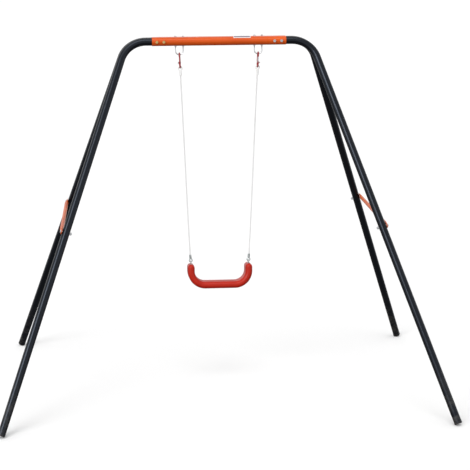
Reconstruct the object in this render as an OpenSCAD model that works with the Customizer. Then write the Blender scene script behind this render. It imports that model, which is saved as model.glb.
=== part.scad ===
// Single-seat swing set: four splayed legs, a flat oval crossbar and one hanging seat.
// Units are millimetres. Z is up, X runs along the crossbar, and the ground is at Z = 0.

/* [Frame] */
// Height of the crossbar's centre line
bar_z = 1800; // [1500:5:2200]
// Length of the crossbar sleeve
bar_length = 674; // [560:2:900]
// Wall of the crossbar sleeve
bar_wall = 2; // [1.5:0.5:4]
// Outside diameter of the leg tubes
tube_od = 38; // [32:1:50]
// Wall of the leg tubes
tube_wall = 2; // [1.5:0.5:3]
// Length of leg tube that is inside the crossbar
tube_insert = 85; // [70:5:120]
// Straight leg tube between the crossbar and the bend
stub_length = 31; // [20:1:60]
// Bend radius on the leg tube's centre line
bend_radius = 130; // [90:1:200]
// Sideways spread of a leg, measured in the leg's own plane
spread_angle = 18.2; // [10:0.1:25]
// Lean of a leg's plane to the front or to the back
lean_angle = 22.2; // [10:0.1:25]

/* [Leg joints] */
// Height of the brace bolts
joint_z = 910; // [700:5:1100]
// Length of leg tube below the brace bolt
joint_below = 20; // [16:1:40]
// Length of the reduced end inside the upper tube
spigot_length = 75; // [50:5:100]
// Height of the ground anchor holes along the leg
anchor_up = 70; // [50:1:150]
// Diameter of the ground anchor holes
anchor_bore = 8.5; // [6.5:0.5:10.5]

/* [Braces] */
// Diameter of the brace tubes
brace_od = 19; // [16:1:25]
// Thickness of a brace's flattened end
brace_flat = 4; // [3:0.5:6]
// Width of a brace's flattened end
brace_width = 28; // [22:1:32]

/* [Hangers] */
// Distance of each U-bolt from the middle of the crossbar
hanger_x = 199; // [150:1:240]
// Wire diameter of the U-bolts
u_wire = 6; // [5:1:8]
// Distance between the two legs of a U-bolt
u_spacing = 38; // [34:1:60]
// Drop of a U-bolt below the crossbar
u_drop = 49; // [40:1:90]
// Wire diameter of the snap hooks
hook_wire = 8; // [6:0.5:9]
// Inward lean of the hooks
hook_lean = 2.5; // [0:0.5:5]
// Angle that a gate is opened by
gate_open = 0; // [0:1:28]

/* [Ropes] */
// Diameter of the ropes
rope_d = 8; // [6:0.5:10]

/* [Seat] */
// Outside width of the seat
seat_width = 336; // [300:1:400]
// Front-to-back depth of the seat
seat_depth = 114; // [100:1:160]
// Thickness of the seat
seat_thick = 36; // [28:1:40]
// Height of the seat from its underside to the tops of its arms
seat_height = 127; // [112:1:170]
// Height of the seat's pivot above the ground
seat_pivot_z = 658; // [500:1:800]
// Angle at which the seat hangs
seat_pitch = 8; // [0:1:15]

/* [Hidden] */
$fa = 3;
$fs = 0.6;

// crossbar section
fit_gap = 0.3;
tube_pitch = tube_od + 2 * fit_gap;
bar_inner = tube_od + 2 * fit_gap + 0.2;
bar_outer = bar_inner + 2 * bar_wall;
bar_half = bar_length / 2;
bar_bottom = bar_z - bar_outer / 2;
bar_top = bar_z + bar_outer / 2;
bar_face = tube_pitch / 2 + bar_outer / 2;

// leg line: it leaves the corner where the bend's two tangents cross
bend_angle = 90 - spread_angle;
bend_tangent = bend_radius * tan(bend_angle / 2);
bend_x = bar_half + stub_length;
corner_x = bend_x + bend_tangent;
leg_drop = cos(spread_angle) * cos(lean_angle);
leg_foot_rise = (tube_od / 2 - 1) * sqrt(1 - leg_drop * leg_drop);
joint_run = (bar_z - joint_z) / leg_drop;
split_run = joint_run + joint_below;
foot_run = (bar_z - leg_foot_rise) / leg_drop;
cap_flange = 6;
cap_plug = 22;
groove = 1.5;
seam = 0.1;
spigot_od = tube_od - 2 * tube_wall - 0.2;
spigot_id = spigot_od - 2 * tube_wall;

// bolts of 8 mm and their hexagons
bolt_d = 8;
bolt_hole = 8.6;
hex_flat = 13;
head_h = 5.3;
nut_h = 6.5;
bar_bolts_x = [bar_half - 24, bar_half - 59];
brace_tilt = atan(tan(spread_angle) * cos(lean_angle));
brace_gap = 1.8;
joint_x = corner_x + joint_run * sin(spread_angle);
joint_y = tube_pitch / 2 + joint_run * cos(spread_angle) * sin(lean_angle);

// U-bolts
u_radius = u_spacing / 2;
u_axis_z = bar_bottom - u_drop + u_wire / 2;
u_nut_flat = 10;
u_nut_h = 5;

// hooks: the local origin is the middle of the U-bolt's wire
hook_gap = 0.5;
hook_r = 13;
hook_top_c = u_wire / 2 + hook_gap - (hook_r - hook_wire / 2);
hook_low_c = -53;
gate_top = -14;
gate_pin_z = -41;
pin_d = 3;
tang = 3.4;

// rope ends
eye_wire = 5;
eye_r = 9.5;
eye_c = hook_low_c - (hook_r - hook_wire / 2) + 0.5 - (eye_r - eye_wire / 2);
sleeve_d = 13;
sleeve_top = eye_c - eye_r;
sleeve_end = sleeve_top - 28;
ring_wire = 5;
ring_r = 8;
ring_lean = 5;
ferrule_d = 12;
ferrule_low = 17;
ferrule_top = 38;

// seat: the local origin is the pivot in its two eyes
arm_x = (seat_width - seat_thick) / 2;
seat_bend = 73;
arm_top_z = -11.5;
seat_mid_z = arm_top_z - seat_height + seat_thick / 2;
seat_back = 14;
seat_eye_r = 8;
seat_eye_c = ring_wire + 1 - seat_eye_r;

// rope route on the right-hand side: X and Z of each point, from the sleeve to the ferrule
rope_route = [[194.9, 1638.7], [194.4, 1627], [193.2, 1600], [190.1, 1530], [187.1, 1460],
    [184.1, 1390], [181.1, 1320], [178.1, 1250], [175.2, 1180], [172.3, 1110], [169.4, 1040],
    [166.5, 970], [163.6, 905], [160.6, 840], [157.9, 785], [155.7, 740], [154.4, 712],
    [153.2, 697], [152, 683]];

// ---------- helpers ----------

module side(s) {
  if (s < 0)
    mirror([1, 0, 0])
      children();
  else
    children();
}

module face(s) {
  if (s < 0)
    mirror([0, 1, 0])
      children();
  else
    children();
}

module stadium(h, w) {
  square([w - h, h], center = true);
  for (s = [-1, 1])
    translate([s * (w - h) / 2, 0])
      circle(d = h);
}

module hexagon(flat, h) {
  linear_extrude(h)
    circle(d = flat / cos(30), $fn = 6);
}

// a torus piece from angle a over sweep b, in the XZ plane when it is stood up
module bend(r, d, a, b) {
  rotate([0, 0, a])
    rotate_extrude(angle = b)
      translate([r, 0])
        circle(d = d);
}

// in the plane of a leg, with its origin at the crossbar's centre line
module leg_plane() {
  translate([0, tube_pitch / 2, bar_z])
    rotate([lean_angle, 0, 0])
      children();
}

// along the leg line, with Z pointing down the leg
module leg_line(run) {
  leg_plane()
    translate([corner_x, 0, 0])
      rotate([0, 180 - spread_angle, 0])
        translate([0, 0, run])
          children();
}

// bolt through a leg joint, with Z pointing outward
module joint_axis() {
  translate([joint_x, joint_y, joint_z])
    rotate([0, 90 - brace_tilt, 0])
      children();
}

module joint_hole() {
  joint_axis()
    translate([0, 0, -tube_od])
      cylinder(d = bolt_hole, h = 2 * tube_od);
}

module bar_holes() {
  for (x = bar_bolts_x)
    translate([x, 0, bar_z])
      rotate([90, 0, 0])
        cylinder(d = bolt_hole, h = 3 * tube_od, center = true);
}

// ---------- frame ----------

module crossbar() {
  color("orange")
    difference() {
      translate([0, 0, bar_z])
        rotate([90, 0, 90])
          linear_extrude(bar_length, center = true)
            difference() {
              stadium(bar_outer, bar_outer + tube_pitch);
              stadium(bar_inner, bar_inner + tube_pitch);
            }
      for (s = [-1, 1])
        side(s)
          bar_holes();
      for (s = [-1, 1])
        for (k = [-1, 1])
          translate([s * hanger_x + k * u_radius, 0, bar_z])
            cylinder(d = u_wire + 0.8, h = 2 * bar_outer, center = true);
    }
}

module tube_section() {
  difference() {
    circle(d = tube_od);
    circle(d = tube_od - 2 * tube_wall);
  }
}

// a ring inside the tube's wall that carries a straight run over the seam to the bend
module splice() {
  translate([0, 0, -3])
    linear_extrude(6)
      difference() {
        circle(d = tube_od - 0.6);
        circle(d = tube_od - 2 * tube_wall + 0.6);
      }
}

module leg_tube() {
  leg_plane() {
    translate([bar_half - tube_insert, 0, 0])
      rotate([0, 90, 0])
        linear_extrude(tube_insert + stub_length - seam)
          tube_section();
    translate([bend_x, 0, 0])
      rotate([0, 90, 0])
        splice();
    translate([bend_x, 0, -bend_radius])
      rotate([90, 0, 0])
        rotate([0, 0, spread_angle]) {
          rotate_extrude(angle = bend_angle)
            translate([bend_radius, 0])
              tube_section();
          translate([bend_radius, 0, 0])
            rotate([90, 0, 0]) {
              splice();
              translate([0, 0, seam])
                linear_extrude(split_run - bend_tangent - seam)
                  tube_section();
            }
        }
  }
}

module upper_leg() {
  color("black")
    difference() {
      leg_tube();
      bar_holes();
      joint_hole();
    }
}

module lower_leg() {
  shoulder = 6;
  tube_h = foot_run - cap_flange - split_run;
  color("black")
    difference() {
      leg_line(split_run) {
        translate([0, 0, -spigot_length])
          cylinder(d = spigot_od, h = spigot_length + shoulder);
        translate([0, 0, groove])
          cylinder(d = tube_od, h = tube_h - groove);
      }
      leg_line(split_run) {
        translate([0, 0, -spigot_length - 1])
          cylinder(d = spigot_id, h = spigot_length + shoulder + 2);
        translate([0, 0, shoulder])
          cylinder(d = tube_od - 2 * tube_wall, h = tube_h);
      }
      joint_hole();
      leg_line(foot_run - anchor_up)
        rotate([0, 90, 0])
          cylinder(d = anchor_bore, h = 2 * tube_od, center = true);
    }
}

module foot_cap() {
  color("dimgray")
    leg_line(foot_run - cap_flange) {
      translate([0, 0, 0.1])
        rotate_extrude()
          polygon([[0, 0], [tube_od / 2 + 0.5, 0], [tube_od / 2 + 0.5, cap_flange - 1.6],
              [tube_od / 2 - 1, cap_flange - 0.1], [0, cap_flange - 0.1]]);
      translate([0, 0, -cap_plug])
        difference() {
          cylinder(d = tube_od - 2 * tube_wall - 0.4, h = cap_plug + 1);
          translate([0, 0, -1])
            cylinder(d = tube_od - 4 * tube_wall - 2, h = cap_plug);
        }
    }
}

module brace_end() {
  reach = 27;
  taper = 52;
  translate([0, 0, -brace_flat / 2])
    cylinder(d = brace_width, h = brace_flat);
  translate([-brace_width / 2, 0, -brace_flat / 2])
    cube([brace_width, reach, brace_flat]);
  hull() {
    translate([-brace_width / 2, reach - 1, -brace_flat / 2])
      cube([brace_width, 1, brace_flat]);
    translate([0, taper, 0])
      rotate([-90, 0, 0])
        cylinder(d = brace_od, h = 1, $fn = 32);
  }
}

module side_brace() {
  color("orange")
    translate([joint_x, 0, joint_z])
      rotate([0, 90 - brace_tilt, 0])
        translate([0, 0, tube_od / 2 + brace_gap + brace_flat / 2])
          difference() {
            union() {
              for (s = [-1, 1])
                face(s)
                  translate([0, -joint_y, 0])
                    brace_end();
              rotate([90, 0, 0])
                cylinder(d = brace_od, h = 2 * joint_y - 104.5, center = true);
            }
            for (s = [-1, 1])
              translate([0, s * joint_y, 0])
                cylinder(d = bolt_hole, h = tube_od, center = true);
          }
}

// ---------- fasteners ----------

module bar_bolt() {
  translate([0, -bar_face - 0.3, 0])
    rotate([90, 0, 0])
      hexagon(hex_flat, head_h);
  translate([0, -bar_face - 1, 0])
    rotate([-90, 0, 0])
      cylinder(d = bolt_d, h = 2 * bar_face + nut_h + 4);
}

module bar_nut() {
  translate([0, bar_face + 0.3, 0])
    rotate([-90, 0, 0])
      difference() {
        hexagon(hex_flat, nut_h);
        translate([0, 0, -1])
          cylinder(d = bolt_d + 0.2, h = nut_h + 2);
      }
}

module crossbar_bolts() {
  color("gold")
    for (s = [-1, 1])
      for (x = bar_bolts_x)
        translate([s * x, 0, bar_z])
          bar_bolt();
}

module crossbar_nuts() {
  color("gold")
    for (s = [-1, 1])
      for (x = bar_bolts_x)
        translate([s * x, 0, bar_z])
          bar_nut();
}

module joints() {
  for (s = [-1, 1])
    for (f = [-1, 1])
      side(s)
        face(f)
          joint_axis()
            children();
}

module brace_bolts() {
  seat_at = tube_od / 2 + brace_gap + brace_flat + 0.3;
  tail = tube_od / 2 + nut_h + 5;
  color("silver")
    joints() {
      translate([0, 0, seat_at])
        hexagon(hex_flat, head_h);
      translate([0, 0, -tail])
        cylinder(d = bolt_d, h = tail + seat_at + 1);
    }
}

module brace_nuts() {
  color("silver")
    joints()
      translate([0, 0, -tube_od / 2 - 1.2 - nut_h])
        difference() {
          hexagon(hex_flat, nut_h);
          translate([0, 0, -1])
            cylinder(d = bolt_d + 0.2, h = nut_h + 2);
        }
}

module u_bolt() {
  leg_h = bar_top - u_axis_z - u_radius + u_nut_h + 4;
  color("silver")
    translate([hanger_x, 0, u_axis_z + u_radius]) {
      for (k = [-1, 1])
        translate([k * u_radius, 0, 0])
          cylinder(d = u_wire, h = leg_h);
      rotate([90, 0, 0])
        bend(u_radius, u_wire, 180, 180);
    }
}

module u_nut() {
  difference() {
    hexagon(u_nut_flat, u_nut_h);
    translate([0, 0, -1])
      cylinder(d = u_wire + 0.2, h = u_nut_h + 2);
  }
}

module u_bolt_nuts() {
  color("silver")
    for (s = [-1, 1])
      for (k = [-1, 1])
        translate([s * hanger_x + k * u_radius, 0, 0]) {
          translate([0, 0, bar_top + 0.1])
            u_nut();
          translate([0, 0, bar_bottom - 0.1 - u_nut_h])
            u_nut();
        }
}

module label_plate() {
  x0 = 72;
  x1 = 158;
  color("indigo")
    translate([0, 0, bar_z])
      intersection() {
        rotate([90, 0, 90])
          translate([0, 0, x0])
            linear_extrude(x1 - x0)
              difference() {
                stadium(bar_outer + 1, bar_outer + tube_pitch + 1);
                stadium(bar_outer + 0.2, bar_outer + tube_pitch + 0.2);
              }
        translate([0, -bar_face + 7, 8])
          cube([x1 + 1, bar_face + 8, bar_outer]);
      }
}

// ---------- hangers ----------

// right-hand hanger: the origin is the middle of the U-bolt's wire
module hanger() {
  translate([hanger_x, 0, u_axis_z])
    rotate([0, hook_lean, 0])
      children();
}

// the gate is at the front for f = -1 and at the back for f = 1
module snap_hook(f) {
  color("firebrick")
    hanger()
      face(f) {
        translate([0, 0, hook_top_c])
          rotate([90, 0, 90])
            bend(hook_r, hook_wire, 0, 180);
        translate([0, 0, hook_low_c])
          rotate([90, 0, 90])
            bend(hook_r, hook_wire, 180, 180);
        translate([0, -hook_r, hook_low_c])
          cylinder(d = hook_wire, h = hook_top_c - hook_low_c);
        translate([0, hook_r, gate_top + 1])
          cylinder(d = hook_wire, h = hook_top_c - gate_top - 1);
        difference() {
          union() {
            translate([0, hook_r, hook_low_c])
              cylinder(d = hook_wire, h = gate_pin_z - 4 - hook_low_c);
            translate([-5, hook_r - 4, gate_pin_z - 8])
              cube([10, 8, 8]);
            translate([0, hook_r, gate_pin_z])
              rotate([0, 90, 0])
                cylinder(d = 8, h = 10, center = true);
          }
          translate([-tang / 2 - 0.4, hook_r - 6, gate_pin_z - 4.6])
            cube([tang + 0.8, 12, 12]);
          translate([0, hook_r, gate_pin_z])
            rotate([0, 90, 0])
              cylinder(d = pin_d + 0.1, h = 30, center = true);
        }
      }
}

module hook_gate(f) {
  gate_d = 6;
  color("silver")
    hanger()
      face(f)
        translate([0, hook_r, gate_pin_z])
          rotate([gate_open, 0, 0])
            difference() {
              union() {
                translate([0, 0, 4.8])
                  cylinder(d = gate_d, h = gate_top - gate_pin_z - 4.8);
                translate([-tang / 2, -gate_d / 2, 0])
                  cube([tang, gate_d, 6]);
                rotate([0, 90, 0])
                  cylinder(d = gate_d, h = tang, center = true);
              }
              rotate([0, 90, 0])
                cylinder(d = pin_d + 0.12, h = 30, center = true);
            }
}

module gate_pin(f) {
  color("silver")
    hanger()
      face(f)
        translate([0, hook_r, gate_pin_z])
          rotate([0, 90, 0]) {
            translate([0, 0, -6])
              cylinder(d = pin_d, h = 13);
            translate([0, 0, 5.1])
              cylinder(d = 9, h = 5);
            translate([0, 0, -6.6])
              cylinder(d = 5, h = 1.5);
          }
}

module rope_eye() {
  color("white")
    hanger() {
      translate([0, 0, eye_c])
        rotate([90, 0, 0])
          rotate_extrude()
            translate([eye_r, 0])
              circle(d = eye_wire);
      difference() {
        translate([0, 0, sleeve_end])
          cylinder(d = sleeve_d, h = sleeve_top - sleeve_end);
        translate([0, 0, sleeve_end - 1])
          cylinder(d = rope_d + 0.6, h = 25);
      }
    }
}

// ring and ferrule at the lower end: the origin is the middle of the ring's lowest wire
module rope_ferrule() {
  color("slategray")
    translate([arm_x, 0, seat_pivot_z])
      rotate([0, ring_lean, 0]) {
        translate([0, 0, ring_r])
          rotate([90, 0, 0])
            rotate_extrude()
              translate([ring_r, 0])
                circle(d = ring_wire);
        difference() {
          translate([0, 0, ferrule_low])
            cylinder(d = ferrule_d, h = ferrule_top - ferrule_low);
          translate([0, 0, ferrule_low + 5])
            cylinder(d = rope_d + 0.6, h = ferrule_top);
        }
      }
}

// a round tube swept along points in the XZ plane, with a flat cap on both ends
module sweep(route, d, n) {
  last = len(route) - 1;
  ways = [for (i = [0:last]) route[min(i + 1, last)] - route[max(i - 1, 0)]];
  points = [for (i = [0:last]) for (j = [0:n - 1])
      let (w = ways[i] / norm(ways[i]), a = 360 * j / n, s = d / 2 * cos(a))
        [route[i][0] + s * w[1], d / 2 * sin(a), route[i][1] - s * w[0]]];
  walls = [for (i = [0:last - 1]) for (j = [0:n - 1])
      [i * n + j, i * n + (j + 1) % n, (i + 1) * n + (j + 1) % n, (i + 1) * n + j]];
  start = [for (j = [0:n - 1]) n - 1 - j];
  finish = [for (j = [0:n - 1]) last * n + j];
  polyhedron(concat(points), concat([start], walls, [finish]));
}

module rope() {
  color("whitesmoke")
    sweep(rope_route, rope_d, 12);
}

// ---------- seat ----------

module seat_frame() {
  translate([0, 0, seat_pivot_z])
    rotate([-seat_pitch, 0, 0])
      children();
}

module seat_section() {
  rotate(90)
    stadium(seat_thick, seat_depth);
}

module seat_half() {
  round_depth = seat_depth - seat_thick;
  arm_end_z = arm_top_z - seat_thick / 2;
  rotate([90, 0, 90])
    linear_extrude(arm_x - seat_bend)
      rotate(90)
        seat_section();
  translate([arm_x - seat_bend, 0, seat_bend])
    rotate([90, 0, 0])
      rotate([0, 0, 270])
        rotate_extrude(angle = 90)
          translate([seat_bend, 0])
            seat_section();
  translate([arm_x, 0, seat_bend])
    linear_extrude(arm_end_z - seat_mid_z - seat_bend)
      seat_section();
  translate([arm_x, 0, arm_end_z - seat_mid_z]) {
    rotate([90, 0, 0])
      cylinder(d = seat_thick, h = round_depth, center = true);
    for (k = [-1, 1])
      translate([0, k * round_depth / 2, 0])
        sphere(d = seat_thick);
  }
}

module seat() {
  color("red")
    seat_frame()
      difference() {
        translate([0, seat_back, seat_mid_z])
          for (s = [-1, 1])
            side(s)
              seat_half();
        for (s = [-1, 1])
          translate([s * arm_x, 0, arm_top_z]) {
            translate([0, 0, -1.5])
              cylinder(d = 18, h = 10);
            translate([0, 0, -26])
              cylinder(d = 6.4, h = 30);
          }
      }
}

module seat_eye() {
  color("slategray")
    seat_frame()
      translate([arm_x, 0, 0]) {
        translate([0, 0, seat_eye_c])
          rotate([90, 0, 90])
            rotate_extrude()
              translate([seat_eye_r, 0])
                circle(d = ring_wire);
        translate([0, 0, arm_top_z - 1.2])
          cylinder(d = 16, h = 2);
        translate([0, 0, arm_top_z - 24])
          cylinder(d = 6, h = 25);
      }
}

// ---------- nodes ----------

crossbar();
side(-1) face(-1) upper_leg();  // upper_leg_front_left
side(1) face(-1) upper_leg();  // upper_leg_front_right
side(-1) face(1) upper_leg();  // upper_leg_rear_left
side(1) face(1) upper_leg();  // upper_leg_rear_right
side(-1) face(-1) lower_leg();  // lower_leg_front_left
side(1) face(-1) lower_leg();  // lower_leg_front_right
side(-1) face(1) lower_leg();  // lower_leg_rear_left
side(1) face(1) lower_leg();  // lower_leg_rear_right
side(-1) face(-1) foot_cap();  // foot_cap_front_left
side(1) face(-1) foot_cap();  // foot_cap_front_right
side(-1) face(1) foot_cap();  // foot_cap_rear_left
side(1) face(1) foot_cap();  // foot_cap_rear_right
side(-1) side_brace();  // side_brace_left
side(1) side_brace();  // side_brace_right
crossbar_bolts();
crossbar_nuts();
brace_bolts();
brace_nuts();
side(-1) u_bolt();  // u_bolt_left
side(1) u_bolt();  // u_bolt_right
u_bolt_nuts();
label_plate();
side(-1) snap_hook(1);  // snap_hook_left
side(1) snap_hook(-1);  // snap_hook_right
side(-1) hook_gate(1);  // hook_gate_left
side(1) hook_gate(-1);  // hook_gate_right
side(-1) gate_pin(1);  // gate_pin_left
side(1) gate_pin(-1);  // gate_pin_right
side(-1) rope_eye();  // rope_eye_left
side(1) rope_eye();  // rope_eye_right
side(-1) rope();  // rope_left
side(1) rope();  // rope_right
side(-1) rope_ferrule();  // rope_ferrule_left
side(1) rope_ferrule();  // rope_ferrule_right
seat();
side(-1) seat_eye();  // seat_eye_left
side(1) seat_eye();  // seat_eye_right
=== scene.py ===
import math

import bmesh
import bpy
import numpy as np
from mathutils import Matrix, Vector


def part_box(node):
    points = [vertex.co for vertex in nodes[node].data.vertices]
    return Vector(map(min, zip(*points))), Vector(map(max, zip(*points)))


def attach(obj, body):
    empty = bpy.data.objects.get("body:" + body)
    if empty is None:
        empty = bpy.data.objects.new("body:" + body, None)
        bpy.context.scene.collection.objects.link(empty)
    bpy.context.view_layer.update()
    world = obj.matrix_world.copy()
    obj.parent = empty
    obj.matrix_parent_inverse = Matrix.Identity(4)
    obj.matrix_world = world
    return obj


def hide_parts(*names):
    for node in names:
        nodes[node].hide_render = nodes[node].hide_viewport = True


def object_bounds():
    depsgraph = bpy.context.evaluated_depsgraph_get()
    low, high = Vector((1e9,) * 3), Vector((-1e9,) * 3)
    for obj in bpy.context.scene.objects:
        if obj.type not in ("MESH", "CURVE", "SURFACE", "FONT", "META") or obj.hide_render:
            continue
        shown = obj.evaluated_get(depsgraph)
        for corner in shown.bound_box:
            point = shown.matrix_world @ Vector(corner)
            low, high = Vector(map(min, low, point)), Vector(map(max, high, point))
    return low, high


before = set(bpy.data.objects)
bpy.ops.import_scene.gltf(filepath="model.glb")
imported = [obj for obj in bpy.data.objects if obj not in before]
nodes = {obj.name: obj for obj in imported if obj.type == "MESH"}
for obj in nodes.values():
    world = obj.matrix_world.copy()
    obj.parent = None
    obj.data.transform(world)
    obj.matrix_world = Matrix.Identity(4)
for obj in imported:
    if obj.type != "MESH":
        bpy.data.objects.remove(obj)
cad_low, cad_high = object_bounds()
scene = bpy.context.scene

# ---------------------------------------------------------------- camera

# where the legs, feet, crossbar and ropes look as they do in the photo: angles in radians, places in metres
CAMERA_YAW, CAMERA_PITCH, CAMERA_ROLL = 0.0549, 0.2191, -0.0080
CAMERA_PLACE = (-0.5104, -6.9664, 2.3542)
CAMERA_LENS_MM, SENSOR_MM = 105.548936, 36.0
CAMERA_SHIFT_X = 0.0851
CAMERA_CLIP_END = 500


def make_camera():
    """The photo's camera. It has a small lens shift because the photo is a crop."""
    yaw, pitch, roll = CAMERA_YAW, CAMERA_PITCH, CAMERA_ROLL
    ahead = Vector((math.sin(yaw) * math.cos(pitch), math.cos(yaw) * math.cos(pitch), -math.sin(pitch)))
    level = Vector((math.cos(yaw), -math.sin(yaw), 0.0))
    rise = level.cross(ahead)
    right = level * math.cos(roll) + rise * math.sin(roll)
    up = rise * math.cos(roll) - level * math.sin(roll)
    data = bpy.data.cameras.new("camera")
    data.sensor_width = SENSOR_MM
    data.lens = CAMERA_LENS_MM
    data.shift_x = CAMERA_SHIFT_X
    data.clip_end = CAMERA_CLIP_END
    camera = bpy.data.objects.new("camera", data)
    scene.collection.objects.link(camera)
    turn = Matrix((right, up, -ahead)).transposed().to_4x4()
    camera.matrix_world = Matrix.Translation(CAMERA_PLACE) @ turn
    scene.camera = camera


make_camera()

# ---------------------------------------------------------------- mesh helpers

LINE_SAMPLES = 24  # on each span of a smooth line, before it is sampled evenly


def add_mesh(name, verts, faces, uvs=None, smooth=True):
    """A new object at the origin, from points in metres and, if given, one UV per face corner."""
    mesh = bpy.data.meshes.new(name)
    mesh.from_pydata([tuple(v) for v in verts], [], [tuple(f) for f in faces])
    if uvs is not None:
        layer = mesh.uv_layers.new(name="UVMap")
        layer.data.foreach_set("uv", [c for face in uvs for uv in face for c in uv])
    if smooth:
        mesh.polygons.foreach_set("use_smooth", [True] * len(mesh.polygons))
    mesh.update()
    mesh.validate()
    obj = bpy.data.objects.new(name, mesh)
    scene.collection.objects.link(obj)
    return obj


def ring_quads(base, rings, sides, closed=False):
    """The quads between neighbouring rings of points; a closed one joins the last ring to the first."""
    faces = []
    for i in range(rings if closed else rings - 1):
        here, there = base + i * sides, base + (i + 1) % rings * sides
        for j in range(sides):
            k = (j + 1) % sides
            faces.append((here + j, here + k, there + k, there + j))
    return faces


def unit(rows):
    """Each row as a vector of length one."""
    return rows / np.linalg.norm(rows, axis=1)[:, None]


def smooth_line(points, step):
    """A Catmull-Rom line through the points, sampled about every step metres, and its running length."""
    p = np.array(points, float)
    ends = np.vstack([2 * p[0] - p[1], p, 2 * p[-1] - p[-2]])
    fine = []
    for i in range(1, len(ends) - 2):
        a, b, c, d = ends[i - 1 : i + 3]
        square, cubic = 2 * a - 5 * b + 4 * c - d, 3 * b - a - 3 * c + d
        for t in np.linspace(0, 1, LINE_SAMPLES, endpoint=False):
            fine.append(0.5 * (2 * b + (c - a) * t + square * t**2 + cubic * t**3))
    fine.append(p[-1])
    fine = np.array(fine)
    run = np.concatenate([[0], np.cumsum(np.linalg.norm(np.diff(fine, axis=0), axis=1))])
    even = np.linspace(0, run[-1], max(2, int(round(run[-1] / step)) + 1))
    return np.stack([np.interp(even, run, fine[:, k]) for k in range(3)], axis=1), even


# ---------------------------------------------------------------- ropes

ROPE_D = 0.008
ROPE_LAY = 0.028  # metres of rope for one turn of its strands
ROPE_STEP, CORD_PATH_STEP = 0.0022, 0.03
STRANDS, STRAND_SIDES = 3, 10
STRAND_R, STRAND_OFFSET = 0.464 * ROPE_D / 2, 0.536 * ROPE_D / 2
# a rope's centre line from its upper fitting down: mm from the middle of the swing, and mm above the ground
ROPE_ROUTE = [
    (194.9, 1638.7), (194.4, 1627), (193.2, 1600), (190.1, 1530), (187.1, 1460), (184.1, 1390),
    (181.1, 1320), (178.1, 1250), (175.2, 1180), (172.3, 1110), (169.4, 1040), (166.5, 970),
    (163.6, 905), (160.6, 840), (157.9, 785), (155.7, 740), (154.4, 712), (153.2, 697), (152, 683),
]


def make_rope(side, body):
    """Three twisted strands along the route, laid the same way on both sides."""
    route = [(side * x / 1000, 0.0, z / 1000) for x, z in ROPE_ROUTE]
    line, run = smooth_line(route, ROPE_STEP)
    way = unit(np.gradient(line, axis=0))
    across = np.array([0.0, 1.0, 0.0])
    other = unit(np.cross(way, across))
    sides = STRAND_SIDES
    verts, faces, uvs = [], [], []
    for strand in range(STRANDS):
        first = len(verts)
        last = first + (len(line) - 1) * sides
        turn = 2 * math.pi * (run / ROPE_LAY + strand / STRANDS)
        out = np.cos(turn)[:, None] * across + np.sin(turn)[:, None] * other
        centre = line + STRAND_OFFSET * out
        lead = unit(way + (2 * math.pi * STRAND_OFFSET / ROPE_LAY) * np.cross(way, out))
        for point, u, v in zip(centre, out, np.cross(lead, out)):
            for j in range(sides):
                a = 2 * math.pi * j / sides
                verts.append(point + STRAND_R * (math.cos(a) * u + math.sin(a) * v))
        faces += ring_quads(first, len(line), sides)
        for v0, v1 in zip(run, run[1:]):
            for j in range(sides):
                u0, u1 = j / sides, (j + 1) / sides
                uvs.append(((u0, v0), (u1, v0), (u1, v1), (u0, v1)))
        faces.append(tuple(first + j for j in reversed(range(sides))))
        uvs.append(tuple((j / sides, 0.0) for j in reversed(range(sides))))
        faces.append(tuple(last + j for j in range(sides)))
        uvs.append(tuple((j / sides, run[-1]) for j in range(sides)))
    name = "left" if side < 0 else "right"
    rope = add_mesh(f"strands_{name}", verts, faces, uvs)
    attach(rope, body)
    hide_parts(f"rope_{name}")
    path, _ = smooth_line(route, CORD_PATH_STEP)
    return rope


ropes = [make_rope(-1, "hanger_left"), make_rope(1, "hanger_right")]

# ---------------------------------------------------------------- stage and light

FLOOR_CELLS, FLOOR_SIZE = 12, 240.0
FLOOR_GAP = 0.0002  # leaves the feet clear of the floor's face
# the studio's brightness by height: dark below, a white horizon, and a soft grey ceiling
WORLD_LEVELS = [(-0.35, 0.20), (-0.02, 0.97), (0.10, 0.97), (0.36, 0.78)]
# name, strength, and in degrees the sun's width, its azimuth and its elevation
SUNS = [("key", 0.75, 30, -10, 62), ("side", 1.6, 34, -38, 27)]
SUN_DISTANCE = 6


def make_floor():
    """A wide pale floor that takes shadows, but neither lights the object nor is mirrored in it."""
    n = FLOOR_CELLS
    steps = [(i / n - 0.5) * FLOOR_SIZE for i in range(n + 1)]
    corners = [j * (n + 1) + i for j in range(n) for i in range(n)]
    verts = [(x, y, 0.0) for y in steps for x in steps]
    floor = add_mesh("floor", verts, [(c, c + 1, c + n + 2, c + n + 1) for c in corners], smooth=False)
    floor.location.z = cad_low.z - FLOOR_GAP
    mat = bpy.data.materials.new("pale_floor")
    mat.use_nodes = True
    shade = mat.node_tree.nodes["Principled BSDF"]
    shade.inputs["Base Color"].default_value = (0.86, 0.86, 0.86, 1)
    shade.inputs["Roughness"].default_value = 0.9
    shade.inputs["Specular IOR Level"].default_value = 0.1
    floor.data.materials.append(mat)
    floor.visible_diffuse = False
    floor.visible_glossy = False


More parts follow.
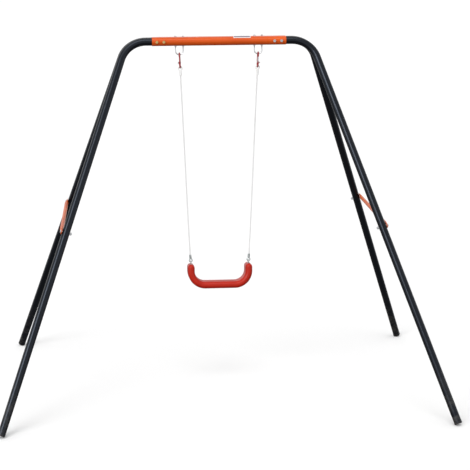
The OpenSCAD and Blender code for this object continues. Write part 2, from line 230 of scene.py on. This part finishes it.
def make_world():
    """A colourless studio whose brightness follows the height of the line of sight."""
    world = bpy.data.worlds.new("studio")
    scene.world = world
    world.use_nodes = True
    tree = world.node_tree
    glow = tree.nodes["Background"]
    coord = tree.nodes.new("ShaderNodeTexCoord")
    split = tree.nodes.new("ShaderNodeSeparateXYZ")
    height = tree.nodes.new("ShaderNodeMapRange")
    height.inputs["From Min"].default_value = -1.0
    band = tree.nodes.new("ShaderNodeValToRGB")
    for k, (z, level) in enumerate(WORLD_LEVELS):
        # the ramp starts with two stops, and the others are added at its upper end
        stop = band.color_ramp.elements[k] if k < 2 else band.color_ramp.elements.new(0.999)
        stop.position = (z + 1) / 2
        stop.color = (level, level, level, 1)
    tree.links.new(coord.outputs["Generated"], split.inputs[0])
    tree.links.new(split.outputs["Z"], height.inputs["Value"])
    tree.links.new(height.outputs["Result"], band.inputs["Fac"])
    tree.links.new(band.outputs["Color"], glow.inputs["Strength"])
    glow.inputs["Color"].default_value = (1.0, 1.0, 1.0, 1)


def make_suns():
    """Two broad suns on the camera's side: a high one, and a lower one that is more to the left."""
    for name, strength, width, azimuth, elevation in SUNS:
        data = bpy.data.lights.new(name, "SUN")
        data.energy = strength
        data.angle = math.radians(width)
        lamp = bpy.data.objects.new(name, data)
        scene.collection.objects.link(lamp)
        az, el = math.radians(azimuth), math.radians(elevation)
        source = Vector((math.sin(az) * math.cos(el), -math.cos(az) * math.cos(el), math.sin(el)))
        lamp.rotation_mode = "QUATERNION"
        lamp.rotation_quaternion = source.to_track_quat("Z", "Y")
        lamp.location = source * SUN_DISTANCE


make_floor()
make_world()
make_suns()
scene.view_settings.view_transform = "Standard"
scene.view_settings.look = "None"

# ---------------------------------------------------------------- material helpers

# the Mix node's sockets for colours; it has others of the same names for numbers and vectors
MIX_A, MIX_B, MIX_RESULT = 6, 7, 2


class Paint:
    """A principled material that is driven by object coordinates, in metres."""

    def __init__(self, name, **constants):
        self.mat = bpy.data.materials.new(name)
        self.mat.use_nodes = True
        self.tree = self.mat.node_tree
        self.shade = self.tree.nodes["Principled BSDF"]
        self.coord = self.tree.nodes.new("ShaderNodeTexCoord")
        self.space = self.coord.outputs["Object"]
        for key, value in constants.items():
            self.shade.inputs[key.replace("_", " ")].default_value = value

    def put(self, value, socket):
        """Links a socket to another node's output, or gives it a constant."""
        if isinstance(value, bpy.types.NodeSocket):
            self.tree.links.new(value, socket)
        else:
            socket.default_value = value

    def noise(self, scale, detail=4.0, rough=0.55, stretch=None, space=None):
        n = self.tree.nodes.new("ShaderNodeTexNoise")
        n.inputs["Scale"].default_value = scale
        n.inputs["Detail"].default_value = detail
        n.inputs["Roughness"].default_value = rough
        where = space or self.space
        if stretch:
            m = self.tree.nodes.new("ShaderNodeMapping")
            m.inputs["Scale"].default_value = stretch
            self.put(where, m.inputs["Vector"])
            where = m.outputs["Vector"]
        self.put(where, n.inputs["Vector"])
        return n.outputs["Fac"]

    def cells(self, scale):
        n = self.tree.nodes.new("ShaderNodeTexVoronoi")
        n.inputs["Scale"].default_value = scale
        self.put(self.space, n.inputs["Vector"])
        return n.outputs["Distance"]

    def span(self, value, a, b, c=0.0, d=1.0):
        """Maps a to b onto c to d, and holds c and d outside that."""
        n = self.tree.nodes.new("ShaderNodeMapRange")
        n.clamp = True
        for key, v in (("From Min", a), ("From Max", b), ("To Min", c), ("To Max", d)):
            n.inputs[key].default_value = v
        self.put(value, n.inputs["Value"])
        return n.outputs["Result"]

    def calc(self, op, a, b=0.0):
        n = self.tree.nodes.new("ShaderNodeMath")
        n.operation = op
        self.put(a, n.inputs[0])
        self.put(b, n.inputs[1])
        return n.outputs[0]

    def times(self, a, b):
        return self.calc("MULTIPLY", a, b)

    def plus(self, a, b):
        return self.calc("ADD", a, b)

    def mix(self, factor, a, b):
        n = self.tree.nodes.new("ShaderNodeMix")
        n.data_type = "RGBA"
        self.put(factor, n.inputs["Factor"])
        for value, key in ((a, MIX_A), (b, MIX_B)):
            self.put(value if isinstance(value, bpy.types.NodeSocket) else (*value, 1.0), n.inputs[key])
        return n.outputs[MIX_RESULT]

    def axis(self, key, space=None):
        n = self.tree.nodes.new("ShaderNodeSeparateXYZ")
        self.put(space or self.space, n.inputs[0])
        return n.outputs[key]

    def blotches(self, scale, detail, low, high):
        """Soft blotches between two values, for roughness."""
        return self.span(self.noise(scale, detail), 0.3, 0.7, low, high)

    def scratches(self, low, high, scale, stretch):
        """Thin worn lines that run mostly along the axis with the smallest stretch."""
        return self.span(self.noise(scale, 7.0, 0.62, stretch), low, high)

    def thread(self, key, pitch):
        """Ridges across one axis, a pitch apart."""
        return self.calc("SINE", self.times(self.axis(key), 2 * math.pi / pitch))

    def colour(self, value):
        self.put(value, self.shade.inputs["Base Color"])

    def rough(self, value):
        self.put(value, self.shade.inputs["Roughness"])

    def bump(self, height, distance, strength=1.0):
        """Adds a bump over those that are there."""
        n = self.tree.nodes.new("ShaderNodeBump")
        n.inputs["Distance"].default_value = distance
        n.inputs["Strength"].default_value = strength
        self.put(height, n.inputs["Height"])
        normal = self.shade.inputs["Normal"]
        if normal.is_linked:
            self.put(normal.links[0].from_socket, n.inputs["Normal"])
        self.put(n.outputs["Normal"], normal)


# ---------------------------------------------------------------- materials

# where wear, dirt, threads and print begin and end, in metres in the shared frame
BAR_DUST_Z = (1.815, 1.8225)
LEG_DUST_Z = (0.0, 0.30)
CAP_DUST_Z = (0.0, 0.016)
HOOK_RUB_Z = (1.728, 1.742)
SEAT_WORN_Z = (0.545, 0.600)
BRACE_BOLT_Y, BRACE_CHIP_REACH = 0.383, 0.03
BOLT_THREAD_Y, BOLT_PITCH = (0.047, 0.048), 0.00125
U_BOLT_THREAD_Z, U_BOLT_PITCH = (1.765, 1.767), 0.001
LABEL_RULE_Y, LABEL_BACK_Y = -0.0303, 0.0310
LABEL_LEFT_X, LABEL_RIGHT_X = 0.0745, 0.1555


def gloss_orange():
    """The crossbar's paint, with fine scratches along it and dust on its top."""
    p = Paint("orange_gloss", Specular_IOR_Level=0.22, Coat_Weight=0.08, Coat_Roughness=0.12)
    tone = p.span(p.noise(5.0, 5.0), 0.35, 0.65)
    base = p.mix(tone, (0.64, 0.088, 0.005), (0.56, 0.070, 0.004))
    speck = p.span(p.noise(900.0, 2.0), 0.70, 0.76)
    base = p.mix(p.times(speck, 0.35), base, (0.75, 0.22, 0.06))
    lines = p.scratches(0.69, 0.74, 60.0, (0.05, 1.0, 1.0))
    base = p.mix(p.times(lines, 0.12), base, (0.78, 0.30, 0.13))
    dust = p.times(p.span(p.axis("Z"), *BAR_DUST_Z), p.span(p.noise(24.0, 6.0), 0.45, 0.75, 0.0, 0.16))
    p.colour(p.mix(dust, base, (0.60, 0.30, 0.16)))
    p.rough(p.plus(p.blotches(14.0, 6.0, 0.24, 0.36), p.times(lines, 0.2)))
    p.bump(p.noise(420.0, 2.0), 0.00006, 0.25)
    return p.mat


def satin_brace():
    """The braces' paint, chipped around their bolts."""
    p = Paint("brace_paint", Specular_IOR_Level=0.28)
    tone = p.span(p.noise(7.0, 5.0), 0.35, 0.65)
    base = p.mix(tone, (0.60, 0.130, 0.038), (0.50, 0.092, 0.024))
    chips = p.span(p.noise(130.0, 6.0, 0.6), 0.68, 0.70)
    from_bolt = p.calc("ABSOLUTE", p.calc("SUBTRACT", p.calc("ABSOLUTE", p.axis("Y")), BRACE_BOLT_Y))
    worn = p.times(chips, p.span(from_bolt, 0.0, BRACE_CHIP_REACH, 1.0, 0.0))
    p.colour(p.mix(worn, base, (0.34, 0.33, 0.32)))
    p.rough(p.blotches(20.0, 6.0, 0.30, 0.44))
    p.bump(p.noise(420.0, 2.0), 0.00006, 0.25)
    p.bump(p.times(worn, -1.0), 0.00015, 0.7)
    return p.mat


def black_tube():
    """The legs' powder coat, with fine scratches along them and dust near the ground."""
    p = Paint("black_powder_coat", Specular_IOR_Level=0.36)
    p.shade.inputs["Specular Tint"].default_value = (0.72, 0.82, 1.0, 1)
    tone = p.span(p.noise(6.0, 5.0), 0.35, 0.65)
    base = p.mix(tone, (0.0016, 0.0018, 0.0026), (0.0030, 0.0033, 0.0046))
    lines = p.scratches(0.69, 0.75, 60.0, (1.0, 1.0, 0.07))
    base = p.mix(p.times(lines, 0.16), base, (0.05, 0.05, 0.052))
    low = p.span(p.axis("Z"), *LEG_DUST_Z, 1.0, 0.0)
    dust = p.times(low, p.span(p.noise(30.0, 7.0, 0.65), 0.42, 0.72, 0.0, 0.30))
    p.colour(p.mix(dust, base, (0.16, 0.145, 0.12)))
    rough = p.blotches(16.0, 6.0, 0.17, 0.25)
    p.rough(p.plus(p.plus(rough, p.times(lines, 0.15)), p.times(dust, 0.9)))
    p.bump(p.noise(520.0, 2.0), 0.00005, 0.25)
    p.bump(p.times(lines, -1.0), 0.00006, 0.5)
    return p.mat


def cap_rubber():
    """The foot caps, dusty where they meet the ground."""
    p = Paint("moulded_cap", Specular_IOR_Level=0.35)
    tone = p.span(p.noise(60.0, 6.0), 0.35, 0.7)
    base = p.mix(tone, (0.014, 0.014, 0.015), (0.030, 0.030, 0.031))
    dust = p.span(p.noise(90.0, 7.0, 0.65), 0.48, 0.74, 0.0, 0.45)
    low = p.span(p.axis("Z"), *CAP_DUST_Z, 1.0, 0.15)
    p.colour(p.mix(p.times(dust, low), base, (0.20, 0.18, 0.15)))
    p.rough(p.blotches(120.0, 5.0, 0.5, 0.72))
    p.bump(p.noise(1300.0, 3.0), 0.00010, 0.5)
    return p.mat


def zinc(name, bright, dull, low, high, stained=None, spangle=160.0):
    """Plated steel with a faint spangle, and stains if a colour is given for them, as a Paint."""
    p = Paint(name, Metallic=1.0)
    base = p.mix(p.span(p.cells(spangle), 0.15, 0.75), bright, dull)
    if stained:
        base = p.mix(p.span(p.noise(70.0, 5.0), 0.45, 0.68, 0.0, 0.55), base, stained)
    p.colour(base)
    p.rough(p.blotches(180.0, 6.0, low, high))
    p.bump(p.noise(1500.0, 3.0), 0.00005, 0.5)
    return p


def bar_fasteners():
    """Yellow passivated on the left-hand pair and bright on the right-hand pair."""
    p = Paint("plated_bolts", Metallic=1.0)
    tone = p.span(p.cells(170.0), 0.15, 0.75)
    gold = p.mix(tone, (0.80, 0.57, 0.25), (0.66, 0.45, 0.17))
    gold = p.mix(p.span(p.noise(90.0, 5.0), 0.45, 0.7, 0.0, 0.5), gold, (0.55, 0.52, 0.30))
    plain = p.mix(tone, (0.72, 0.73, 0.74), (0.52, 0.53, 0.55))
    p.colour(p.mix(p.span(p.axis("X"), -0.01, 0.01), gold, plain))
    p.rough(p.blotches(180.0, 6.0, 0.22, 0.40))
    p.bump(p.times(p.thread("Y", BOLT_PITCH), p.span(p.axis("Y"), *BOLT_THREAD_Y)), 0.00030, 0.7)
    p.bump(p.noise(1500.0, 3.0), 0.00005, 0.5)
    return p.mat


def bright_zinc():
    """The braces' fasteners, the U-bolts' nuts, and the hooks' gates and pins."""
    pale, grey, stain = (0.84, 0.85, 0.87), (0.66, 0.68, 0.70), (0.52, 0.53, 0.54)
    return zinc("bright_zinc", pale, grey, 0.24, 0.40, stain).mat


def threaded_zinc():
    """U-bolt wire, with a thread on its two upper ends."""
    p = zinc("threaded_zinc", (0.90, 0.91, 0.93), (0.76, 0.78, 0.80), 0.28, 0.42)
    p.bump(p.times(p.thread("Z", U_BOLT_PITCH), p.span(p.axis("Z"), *U_BOLT_THREAD_Z)), 0.00025, 0.8)
    return p.mat


def dipped_red():
    """The snap hooks' coating, rubbed through where it hangs on the U-bolt."""
    p = Paint("dipped_red", Specular_IOR_Level=0.45, Coat_Weight=0.2, Coat_Roughness=0.2)
    tone = p.span(p.noise(60.0, 5.0), 0.35, 0.65)
    base = p.mix(tone, (0.36, 0.016, 0.018), (0.25, 0.010, 0.012))
    patches = p.span(p.noise(150.0, 6.0, 0.62), 0.60, 0.66)
    worn = p.times(p.times(patches, p.span(p.axis("Z"), *HOOK_RUB_Z)), 0.7)
    p.colour(p.mix(worn, base, (0.36, 0.35, 0.34)))
    p.rough(p.blotches(90.0, 5.0, 0.30, 0.46))
    p.bump(p.noise(260.0, 3.0), 0.00025, 0.35)
    return p.mat


def moulded_white():
    """The ropes' upper fittings, a little grimy."""
    p = Paint("moulded_white", Specular_IOR_Level=0.45, Subsurface_Weight=0.08)
    p.shade.inputs["Subsurface Radius"].default_value = (0.002, 0.0018, 0.0016)
    tone = p.span(p.noise(50.0, 5.0), 0.35, 0.7)
    base = p.mix(tone, (0.88, 0.88, 0.87), (0.80, 0.80, 0.79))
    grime = p.span(p.noise(140.0, 7.0, 0.62), 0.56, 0.78, 0.0, 0.35)
    p.colour(p.mix(grime, base, (0.48, 0.46, 0.42)))
    p.rough(p.blotches(110.0, 4.0, 0.34, 0.5))
    p.bump(p.noise(1100.0, 3.0), 0.00008, 0.4)
    return p.mat


def rope_fibre():
    """The strands' fibres. U goes round a strand and V along it, and its inner side, where the strands
    press together, is darkened as painted shade.
    """
    p = Paint("rope_fibre", Specular_IOR_Level=0.3, Sheen_Weight=0.15, Sheen_Roughness=0.4)
    uv = p.coord.outputs["UV"]
    strand_inner_shade = p.span(p.calc("ABSOLUTE", p.calc("SUBTRACT", p.axis("X", uv), 0.5)), 0.05, 0.34, 1.0, 0.0)
    fibre = p.noise(1.0, 3.0, 0.6, (46.0, 90.0, 1.0), uv)
    base = p.mix(p.span(fibre, 0.3, 0.7), (0.80, 0.80, 0.80), (0.90, 0.90, 0.90))
    # painted shade: each strand's inner side, towards the rope's middle, is darkened
    base = p.mix(p.times(strand_inner_shade, 0.5), base, (0.50, 0.49, 0.48))
    grime = p.span(p.noise(9.0, 6.0, 0.6), 0.48, 0.72, 0.0, 0.15)
    p.colour(p.mix(grime, base, (0.62, 0.60, 0.56)))
    p.rough(p.span(fibre, 0.3, 0.7, 0.55, 0.75))
    p.bump(fibre, 0.00035, 0.7)
    return p.mat


def dull_metal():
    """The ropes' lower fittings and the seat's eyes."""
    pale, grey, stain = (0.66, 0.71, 0.71), (0.46, 0.51, 0.51), (0.36, 0.38, 0.37)
    return zinc("dull_metal", pale, grey, 0.30, 0.46, stain, 240.0).mat


def plain_label():
    """A purple film with a plain white rule and margins, and no lettering."""
    p = Paint("label_film", Specular_IOR_Level=0.5, Coat_Weight=0.3, Coat_Roughness=0.08)
    tone = p.span(p.noise(40.0, 4.0), 0.35, 0.65)
    base = p.mix(tone, (0.052, 0.012, 0.066), (0.070, 0.018, 0.086))
    x, y = p.axis("X"), p.axis("Y")
    ends = p.plus(p.calc("LESS_THAN", x, LABEL_LEFT_X), p.calc("GREATER_THAN", x, LABEL_RIGHT_X))
    edges = p.plus(p.calc("LESS_THAN", y, LABEL_RULE_Y), p.calc("GREATER_THAN", y, LABEL_BACK_Y))
    base = p.mix(p.calc("MINIMUM", p.plus(edges, ends), 1.0), base, (0.78, 0.78, 0.77))
    scuff = p.span(p.noise(60.0, 3.0, 0.5), 0.45, 0.75, 0.0, 0.12)
    p.colour(p.mix(scuff, base, (0.40, 0.37, 0.38)))
    p.rough(p.blotches(60.0, 5.0, 0.22, 0.38))
    p.bump(p.noise(120.0, 3.0), 0.00006, 0.4)
    return p.mat


def seat_red():
    """The seat's plastic, with pale scuffs that are strongest on its lower part."""
    p = Paint(
        "seat_red", Specular_IOR_Level=0.20, Coat_Weight=0.04, Coat_Roughness=0.3, Subsurface_Weight=0.03
    )
    p.shade.inputs["Subsurface Radius"].default_value = (0.004, 0.001, 0.0008)
    tone = p.span(p.noise(16.0, 5.0), 0.35, 0.65)
    base = p.mix(tone, (0.43, 0.0150, 0.0042), (0.36, 0.0115, 0.0032))
    lines = p.scratches(0.66, 0.73, 80.0, (0.10, 1.0, 0.8))
    worn = p.times(p.times(lines, p.span(p.axis("Z"), *SEAT_WORN_Z, 1.0, 0.25)), 0.35)
    p.colour(p.mix(worn, base, (0.60, 0.09, 0.06)))
    p.rough(p.plus(p.blotches(30.0, 6.0, 0.32, 0.42), p.times(worn, 0.5)))
    p.bump(p.cells(900.0), 0.00003, 0.4)
    p.bump(p.noise(240.0, 3.0), 0.00005, 0.2)
    return p.mat


# ---------------------------------------------------------------- the seat

# metres, with heights from the seat's pivot, before the seat is pitched
SEAT_THICK, SEAT_DEPTH, SEAT_BEND_R = 0.036, 0.114, 0.073
SEAT_TOP = -0.0115
SEAT_BOTTOM = SEAT_TOP - 0.127
SEAT_OFFSET_Y = 0.014
SEAT_PIVOT_Z, SEAT_PITCH_DEG = 0.658, -8
THINNEST = 0.02  # the section's size at an arm's very tip, so that the tip still closes cleanly
GROOVES_Y = [-0.030, -0.015, 0.0, 0.015, 0.030]
GROOVE_DEPTH, GROOVE_HALF_WIDTH, GROOVE_FADE = 0.0009, 0.0021, 0.012
GROOVE_END, GROOVE_NO_DEPTH = 0.55, 0.45  # in from the arms, as shares of the bend's radius
PARTING_DEPTH, PARTING_HALF_WIDTH = 0.00045, 0.0012
# a boss's radius and its height from SEAT_TOP: up its outer side, over its rim and down its bore
BOSS_PROFILE = [
    (0.0105, -0.0090), (0.0105, -0.0024), (0.0101, -0.0017),
    (0.0094, -0.00135), (0.0034, -0.00135), (0.0034, -0.0090),
]
BOSS_SIDES = 40


def seat_line(arm):
    """The centre line from arm to arm: x, z, how far it has turned, and the section's size there."""
    r, bend = SEAT_THICK / 2, SEAT_BEND_R
    mid, tip = SEAT_BOTTOM + r, SEAT_TOP - r
    half = [((arm - bend) * t, mid, 0.0, 1.0) for t in np.linspace(0, 1, 15)]
    for a in np.linspace(0, math.pi / 2, 25)[1:]:
        half.append((arm - bend + bend * math.sin(a), mid + bend - bend * math.cos(a), a, 1.0))
    for t in np.linspace(0, 1, 7)[1:]:
        half.append((arm, mid + bend + (tip - mid - bend) * t, math.pi / 2, 1.0))
    for k in np.linspace(0, math.pi / 2, 11)[1:]:
        half.append((arm, tip + r * math.sin(k), math.pi / 2, max(math.cos(k), THINNEST)))
    return [(-x, z, -a, s) for x, z, a, s in reversed(half[1:])] + half


def seat_section():
    """Points round the flat oval section: u across the depth, and v through the thickness, inwards."""
    r, flat = SEAT_THICK / 2, (SEAT_DEPTH - SEAT_THICK) / 2
    arc = np.linspace(0, math.pi, 25)[1:-1]
    points = [(u, r, "inner") for u in np.linspace(flat, -flat, 83)]
    points += [(-flat - r * math.sin(a), r * math.cos(a), "edge") for a in arc]
    points += [(u, -r, "outer") for u in np.linspace(-flat, flat, 21)]
    points += [(flat + r * math.sin(a), -r * math.cos(a), "edge") for a in arc]
    return points


def make_seat():
    """The moulded seat: a U of flat oval section with a parting line, tread grooves and two bosses."""
    low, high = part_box("seat")
    arm = (high.x - low.x - SEAT_THICK) / 2
    flat = (SEAT_DEPTH - SEAT_THICK) / 2
    line, section = seat_line(arm), seat_section()
    m = len(section)
    verts = []
    for x, z, a, s in line:
        inward_x, inward_z = -math.sin(a), math.cos(a)
        fade = 0.0
        if abs(x) < arm - SEAT_BEND_R * GROOVE_END:
            fade = min(1.0, (arm - SEAT_BEND_R * GROOVE_NO_DEPTH - abs(x)) / GROOVE_FADE)
        for u, v, kind in section:
            y, depth = u, v * s
            if kind == "edge":
                y = flat + (abs(u) - flat) * s
                if abs(v) < PARTING_HALF_WIDTH:
                    y -= PARTING_DEPTH * s
                y = math.copysign(y, u)
            elif kind == "inner" and fade:
                near = min(abs(u - g) for g in GROOVES_Y)
                depth -= GROOVE_DEPTH * fade * max(0.0, 1.0 - (near / GROOVE_HALF_WIDTH) ** 2)
            verts.append((x + inward_x * depth, y + SEAT_OFFSET_Y, z + inward_z * depth))
    faces = [(a, d, c, b) for a, b, c, d in ring_quads(0, len(line), m)]
    faces.append(tuple(range(m)))
    last = (len(line) - 1) * m
    faces.append(tuple(last + j for j in reversed(range(m))))
    for side in (-1, 1):
        base = len(verts)
        for radius, height in BOSS_PROFILE:
            for j in range(BOSS_SIDES):
                t = 2 * math.pi * j / BOSS_SIDES
                verts.append((side * arm + radius * math.cos(t), radius * math.sin(t), SEAT_TOP + height))
        faces += ring_quads(base, len(BOSS_PROFILE), BOSS_SIDES, closed=True)
    pivot = Matrix.Translation((0, 0, SEAT_PIVOT_Z))
    turn = pivot @ Matrix.Rotation(math.radians(SEAT_PITCH_DEG), 4, "X")
    seat = add_mesh("moulded_seat", [turn @ Vector(v) for v in verts], faces)
    bm = bmesh.new()
    bm.from_mesh(seat.data)
    bmesh.ops.recalc_face_normals(bm, faces=bm.faces)
    bm.to_mesh(seat.data)
    bm.free()
    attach(seat, "seat")
    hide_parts("seat")
    return seat


seat = make_seat()

# ---------------------------------------------------------------- finishes

black, orange, brace = black_tube(), gloss_orange(), satin_brace()
cap, bright, thread = cap_rubber(), bright_zinc(), threaded_zinc()
plated, red, white = bar_fasteners(), dipped_red(), moulded_white()
fibre, dull, label, plastic = rope_fibre(), dull_metal(), plain_label(), seat_red()
# a node takes the finish of the longest key that its name starts with
FINISHES = {
    "crossbar": orange, "side_brace": brace, "upper_leg": black, "lower_leg": black, "foot_cap": cap,
    "crossbar_": plated, "brace_": bright, "u_bolt_nuts": bright, "u_bolt": thread,
    "label_plate": label, "snap_hook": red, "hook_gate": bright, "gate_pin": bright,
    "rope_eye": white, "rope_ferrule": dull, "seat_eye": dull,
}
for name, obj in nodes.items():
    fits = [key for key in FINISHES if name.startswith(key)]
    if fits:
        for material_slot in obj.material_slots:
            material_slot.material = FINISHES[max(fits, key=len)]
for rope in ropes:
    rope.data.materials.append(fibre)
seat.data.materials.append(plastic)
